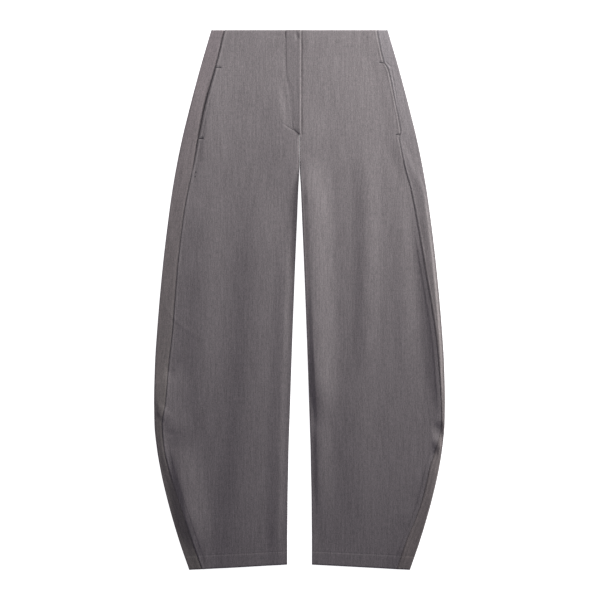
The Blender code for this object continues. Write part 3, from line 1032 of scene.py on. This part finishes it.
class TROUSERS_OT_fronts(bpy.types.Operator):
    """Lay the two front panels with their folds, seams and hems"""

    bl_idname = "trousers.fronts"
    bl_label = "Fronts"

    def execute(self, context):
        sizes, colours, _ = trouser_settings()
        material = suiting_material("suiting_front", colours.front)
        for leg in LEGS:
            wall = front_wall(leg, sizes)
            cut = cut_size(seam_at(leg, CUT_DOWNS) - half_gap(CUT_DOWNS), CUT_DOWNS)
            lay_cloth(
                "front_" + leg.name, wall, cut_map(leg, wall[0]), material,
                "suiting_front", ["back_" + leg.name], *cut,
            )
        return {"FINISHED"}


class TROUSERS_OT_backs(bpy.types.Operator):
    """Lay the two back panels, which wrap round the side folds to the forward side seams"""

    bl_idname = "trousers.backs"
    bl_label = "Backs"

    def execute(self, context):
        sizes, colours, _ = trouser_settings()
        for leg in LEGS:
            name = "back_" + leg.name
            # Each back gets its own colour at the waist and another at the hem: painted sheen and shade
            # tint on the one cloth.
            thigh, calf = getattr(colours, name), getattr(colours, "calf_" + leg.name)
            material = suiting_material("suiting_" + name, thigh, calf)
            wall = back_wall(leg, sizes)
            under = half_width(CUT_DOWNS) - half_gap(CUT_DOWNS)
            cut = cut_size(under + SIZES["seam_" + leg.name](CUT_DOWNS), CUT_DOWNS)
            along = cut_map(leg, wall[0], from_seam=True)
            lay_cloth(name, wall, along, material, "suiting_back", ["pale_floor"], *cut)
        return {"FINISHED"}


class TROUSERS_OT_fly(bpy.types.Operator):
    """Lay the placket over the closing"""

    bl_idname = "trousers.fly"
    bl_label = "Fly placket"

    def execute(self, context):
        sizes, colours, _ = trouser_settings()
        wall = placket_wall(sizes)
        material = suiting_material("suiting_placket", colours.front)
        downs = spread(0, FLY_LENGTH, 60)
        cut = cut_size(fly_edge(downs) + FLY_OVERLAP, downs)
        rests_on = ["front_right", "front_left"]
        lay_cloth("fly_placket", wall, wall[0][..., :2], material, "suiting_front", rests_on, *cut)
        return {"FINISHED"}


class TROUSERS_OT_pocket_facings(bpy.types.Operator):
    """Lay the facings that show in the slit pockets"""

    bl_idname = "trousers.pocket_facings"
    bl_label = "Pocket facings"

    def execute(self, context):
        sizes, colours, _ = trouser_settings()
        # The facing colour is painted far darker than the cloth: painted shade in the slits.
        material = suiting_material("pocket_facing", colours.facing)
        for leg in LEGS:
            wall = facing_wall(leg, sizes)
            flat = (2 * FACING_HALF * MM, leg.pocket_bottom - leg.pocket_top + 2 * FACING_PAST)
            lay_cloth(
                "pocket_facing_" + leg.name, wall, cut_map(leg, wall[0]), material,
                "pocket_facing", ["back_" + leg.name], flat,
            )
        return {"FINISHED"}


# One row for each bar tack: where it starts and ends on the front.
Tack = namedtuple("Tack", "x_from down_from x_to down_to")
TACKS = by_leg(Tack, right=[
    (159.5, 71.5, 149.5, 71.5),
    (192.2, 207, 183, 206.5),
    (198.2, 271, 196.6, 271),
    (199.6, 279.5, 198, 279.5),
], left=[
    (161.5, 63, 152.5, 61.5),
    (191, 200.5, 184.5, 199),
])
TOPSTITCH_OFF = 1.6 * MM
EDGE_STITCH_X = 4.4 * MM
SEWN_LIFT = 0.02 * MM
TACK_LIFT = 0.15 * MM
PICKS_FROM_GAP = 6 * MM
PICKS_FROM_SEAM = 4 * MM
PICKS_ABOVE_HEM = 1.6 * MM


class TROUSERS_OT_stitching(bpy.types.Operator):
    """Sew the fly's topstitching, the bar tacks and the hem"""

    bl_idname = "trousers.stitching"
    bl_label = "Stitching"

    def execute(self, context):
        sizes, colours, _ = trouser_settings()
        thread = thread_material(colours.thread)
        group = stitch_group()
        downs = spread(3 * MM, 190 * MM, 120)
        topstitching = on_front(RIGHT, fly_edge(downs) + TOPSTITCH_OFF, downs, sizes, SEWN_LIFT)
        downs = spread(24 * MM, 188 * MM, 120)
        edge = on_front(LEFT, np.full(121, EDGE_STITCH_X), downs, sizes, SEWN_LIFT)
        bars, hems = [], []
        share = spread(0, 1, 12)
        for leg in LEGS:
            for tack in TACKS[leg.name]:
                xs = (tack.x_from + (tack.x_to - tack.x_from) * share) * MM
                at = (tack.down_from + (tack.down_to - tack.down_from) * share) * MM
                bars.append(on_front(leg, xs, at, sizes, TACK_LIFT))
            first, last = half_gap(LENGTH), seam_at(leg, LENGTH)
            xs = spread(first + PICKS_FROM_GAP, last - PICKS_FROM_SEAM, 60)
            downs = np.full(61, LENGTH - sizes.hem - PICKS_ABOVE_HEM)
            hems.append(on_front(leg, xs, downs, sizes, 0.0))
        # For each piece: its lines, the stitches' spacing, length, thickness and turn, and a seed.
        rows = [
            ("fly_topstitching", [topstitching], sizes.stitch * 1.3, sizes.stitch, sizes.thread, 0, 0),
            ("fly_edge_stitching", [edge], 5.2 * MM, 2 * MM, 0.35 * MM, 0, 3),
            ("bar_tacks", bars, 0.42 * MM, sizes.tack, 0.5 * MM, 84, 1),
            ("hem_picks", hems, 7.5 * MM, 1.3 * MM, 0.3 * MM, 0, 2),
        ]
        for name, lines, spacing, length, thickness, turn, seed in rows:
            piece = stitched(
                name, lines, group, Spacing=spacing, Length=length, Thickness=thickness,
                Turn=math.radians(turn), Seed=SEED + seed, Thread=thread,
            )
            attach(piece, "root")
        return {"FINISHED"}


# Where each lamp stands. It takes its power from the studio setting of the same name.
LAMPS = {"key": (1.3, 0.9, 0.45), "top": (0.6, 1.0, 0.5), "side": (-0.6, 1.1, 0.5)}
LAMP_TARGET = Vector((0.0, 0.1, 0.0))
LAMP_SIZE = 0.45
FLOOR_SIZE = 60
CAMERA_X = 0.8 * MM
CAMERA_LIFT = 3 * MM


def area_lamp(name, place_at, power):
    """A square soft lamp that points at the trousers."""
    data = bpy.data.lights.new(name, "AREA")
    data.shape = "SQUARE"
    data.size = LAMP_SIZE
    data.energy = power
    lamp = add_object(name, data)
    lamp.location = place_at
    lamp.rotation_euler = (LAMP_TARGET - Vector(place_at)).to_track_quat("-Z", "Y").to_euler()


class TROUSERS_OT_studio(bpy.types.Operator):
    """Set the floor, the lamps and the camera straight above"""

    bl_idname = "trousers.studio"
    bl_label = "Studio"

    def execute(self, context):
        _, colours, studio = trouser_settings()
        scene = context.scene
        bpy.ops.mesh.primitive_plane_add(size=FLOOR_SIZE, location=(0, 0, CAD_LOW.z - PANEL_GAP))
        floor = context.active_object
        floor.name = "pale_floor"
        floor.data.materials.append(floor_material(colours.floor, studio.floor_glow))
        world = bpy.data.worlds.new("even_light")
        world.use_nodes = True
        even = world.node_tree.nodes["Background"]
        set_inputs(world.node_tree, even, Color=(*studio.fill_colour, 1), Strength=studio.fill)
        scene.world = world
        for name, place_at in LAMPS.items():
            area_lamp(name + "_lamp", place_at, getattr(studio, name))
        data = bpy.data.cameras.new("camera_above")
        data.lens = studio.lens
        data.clip_end = 50
        camera = add_object("camera_above", data)
        distance = studio.view_width * studio.lens / data.sensor_width
        camera.location = (CAMERA_X, 0.0, distance + CAMERA_LIFT)
        scene.camera = camera
        scene.view_settings.view_transform = "Standard"
        scene.view_settings.look = "None"
        return {"FINISHED"}


class TROUSERS_PT_sidebar(bpy.types.Panel):
    """Sizes, colours and steps of the trousers"""

    bl_idname = "TROUSERS_PT_sidebar"
    bl_label = "Trousers"
    bl_space_type = "VIEW_3D"
    bl_region_type = "UI"
    bl_category = "Trousers"

    def draw(self, context):
        for group in trouser_settings():
            box = self.layout.box()
            for name in group.__annotations__:
                box.prop(group, name)
        for operator in STEPS:
            self.layout.operator(operator.bl_idname)


STEPS = [
    TROUSERS_OT_studio,
    TROUSERS_OT_backs,
    TROUSERS_OT_pocket_facings,
    TROUSERS_OT_fronts,
    TROUSERS_OT_fly,
    TROUSERS_OT_stitching,
]
GROUPS = {
    "trouser_sizes": TrouserSizes,
    "trouser_colours": TrouserColours,
    "trouser_studio": TrouserStudio,
}
CLASSES = [*GROUPS.values(), *STEPS, TROUSERS_PT_sidebar]


def register():
    for item in CLASSES:
        bpy.utils.register_class(item)
    for name, group in GROUPS.items():
        setattr(bpy.types.Scene, name, PointerProperty(type=group))


def unregister():
    for name in GROUPS:
        delattr(bpy.types.Scene, name)
    for item in reversed(CLASSES):
        bpy.utils.unregister_class(item)


def main():
    register()
    for step in STEPS:
        getattr(bpy.ops.trousers, step.bl_idname.split(".")[1])()


if __name__ == "__main__":
    main()
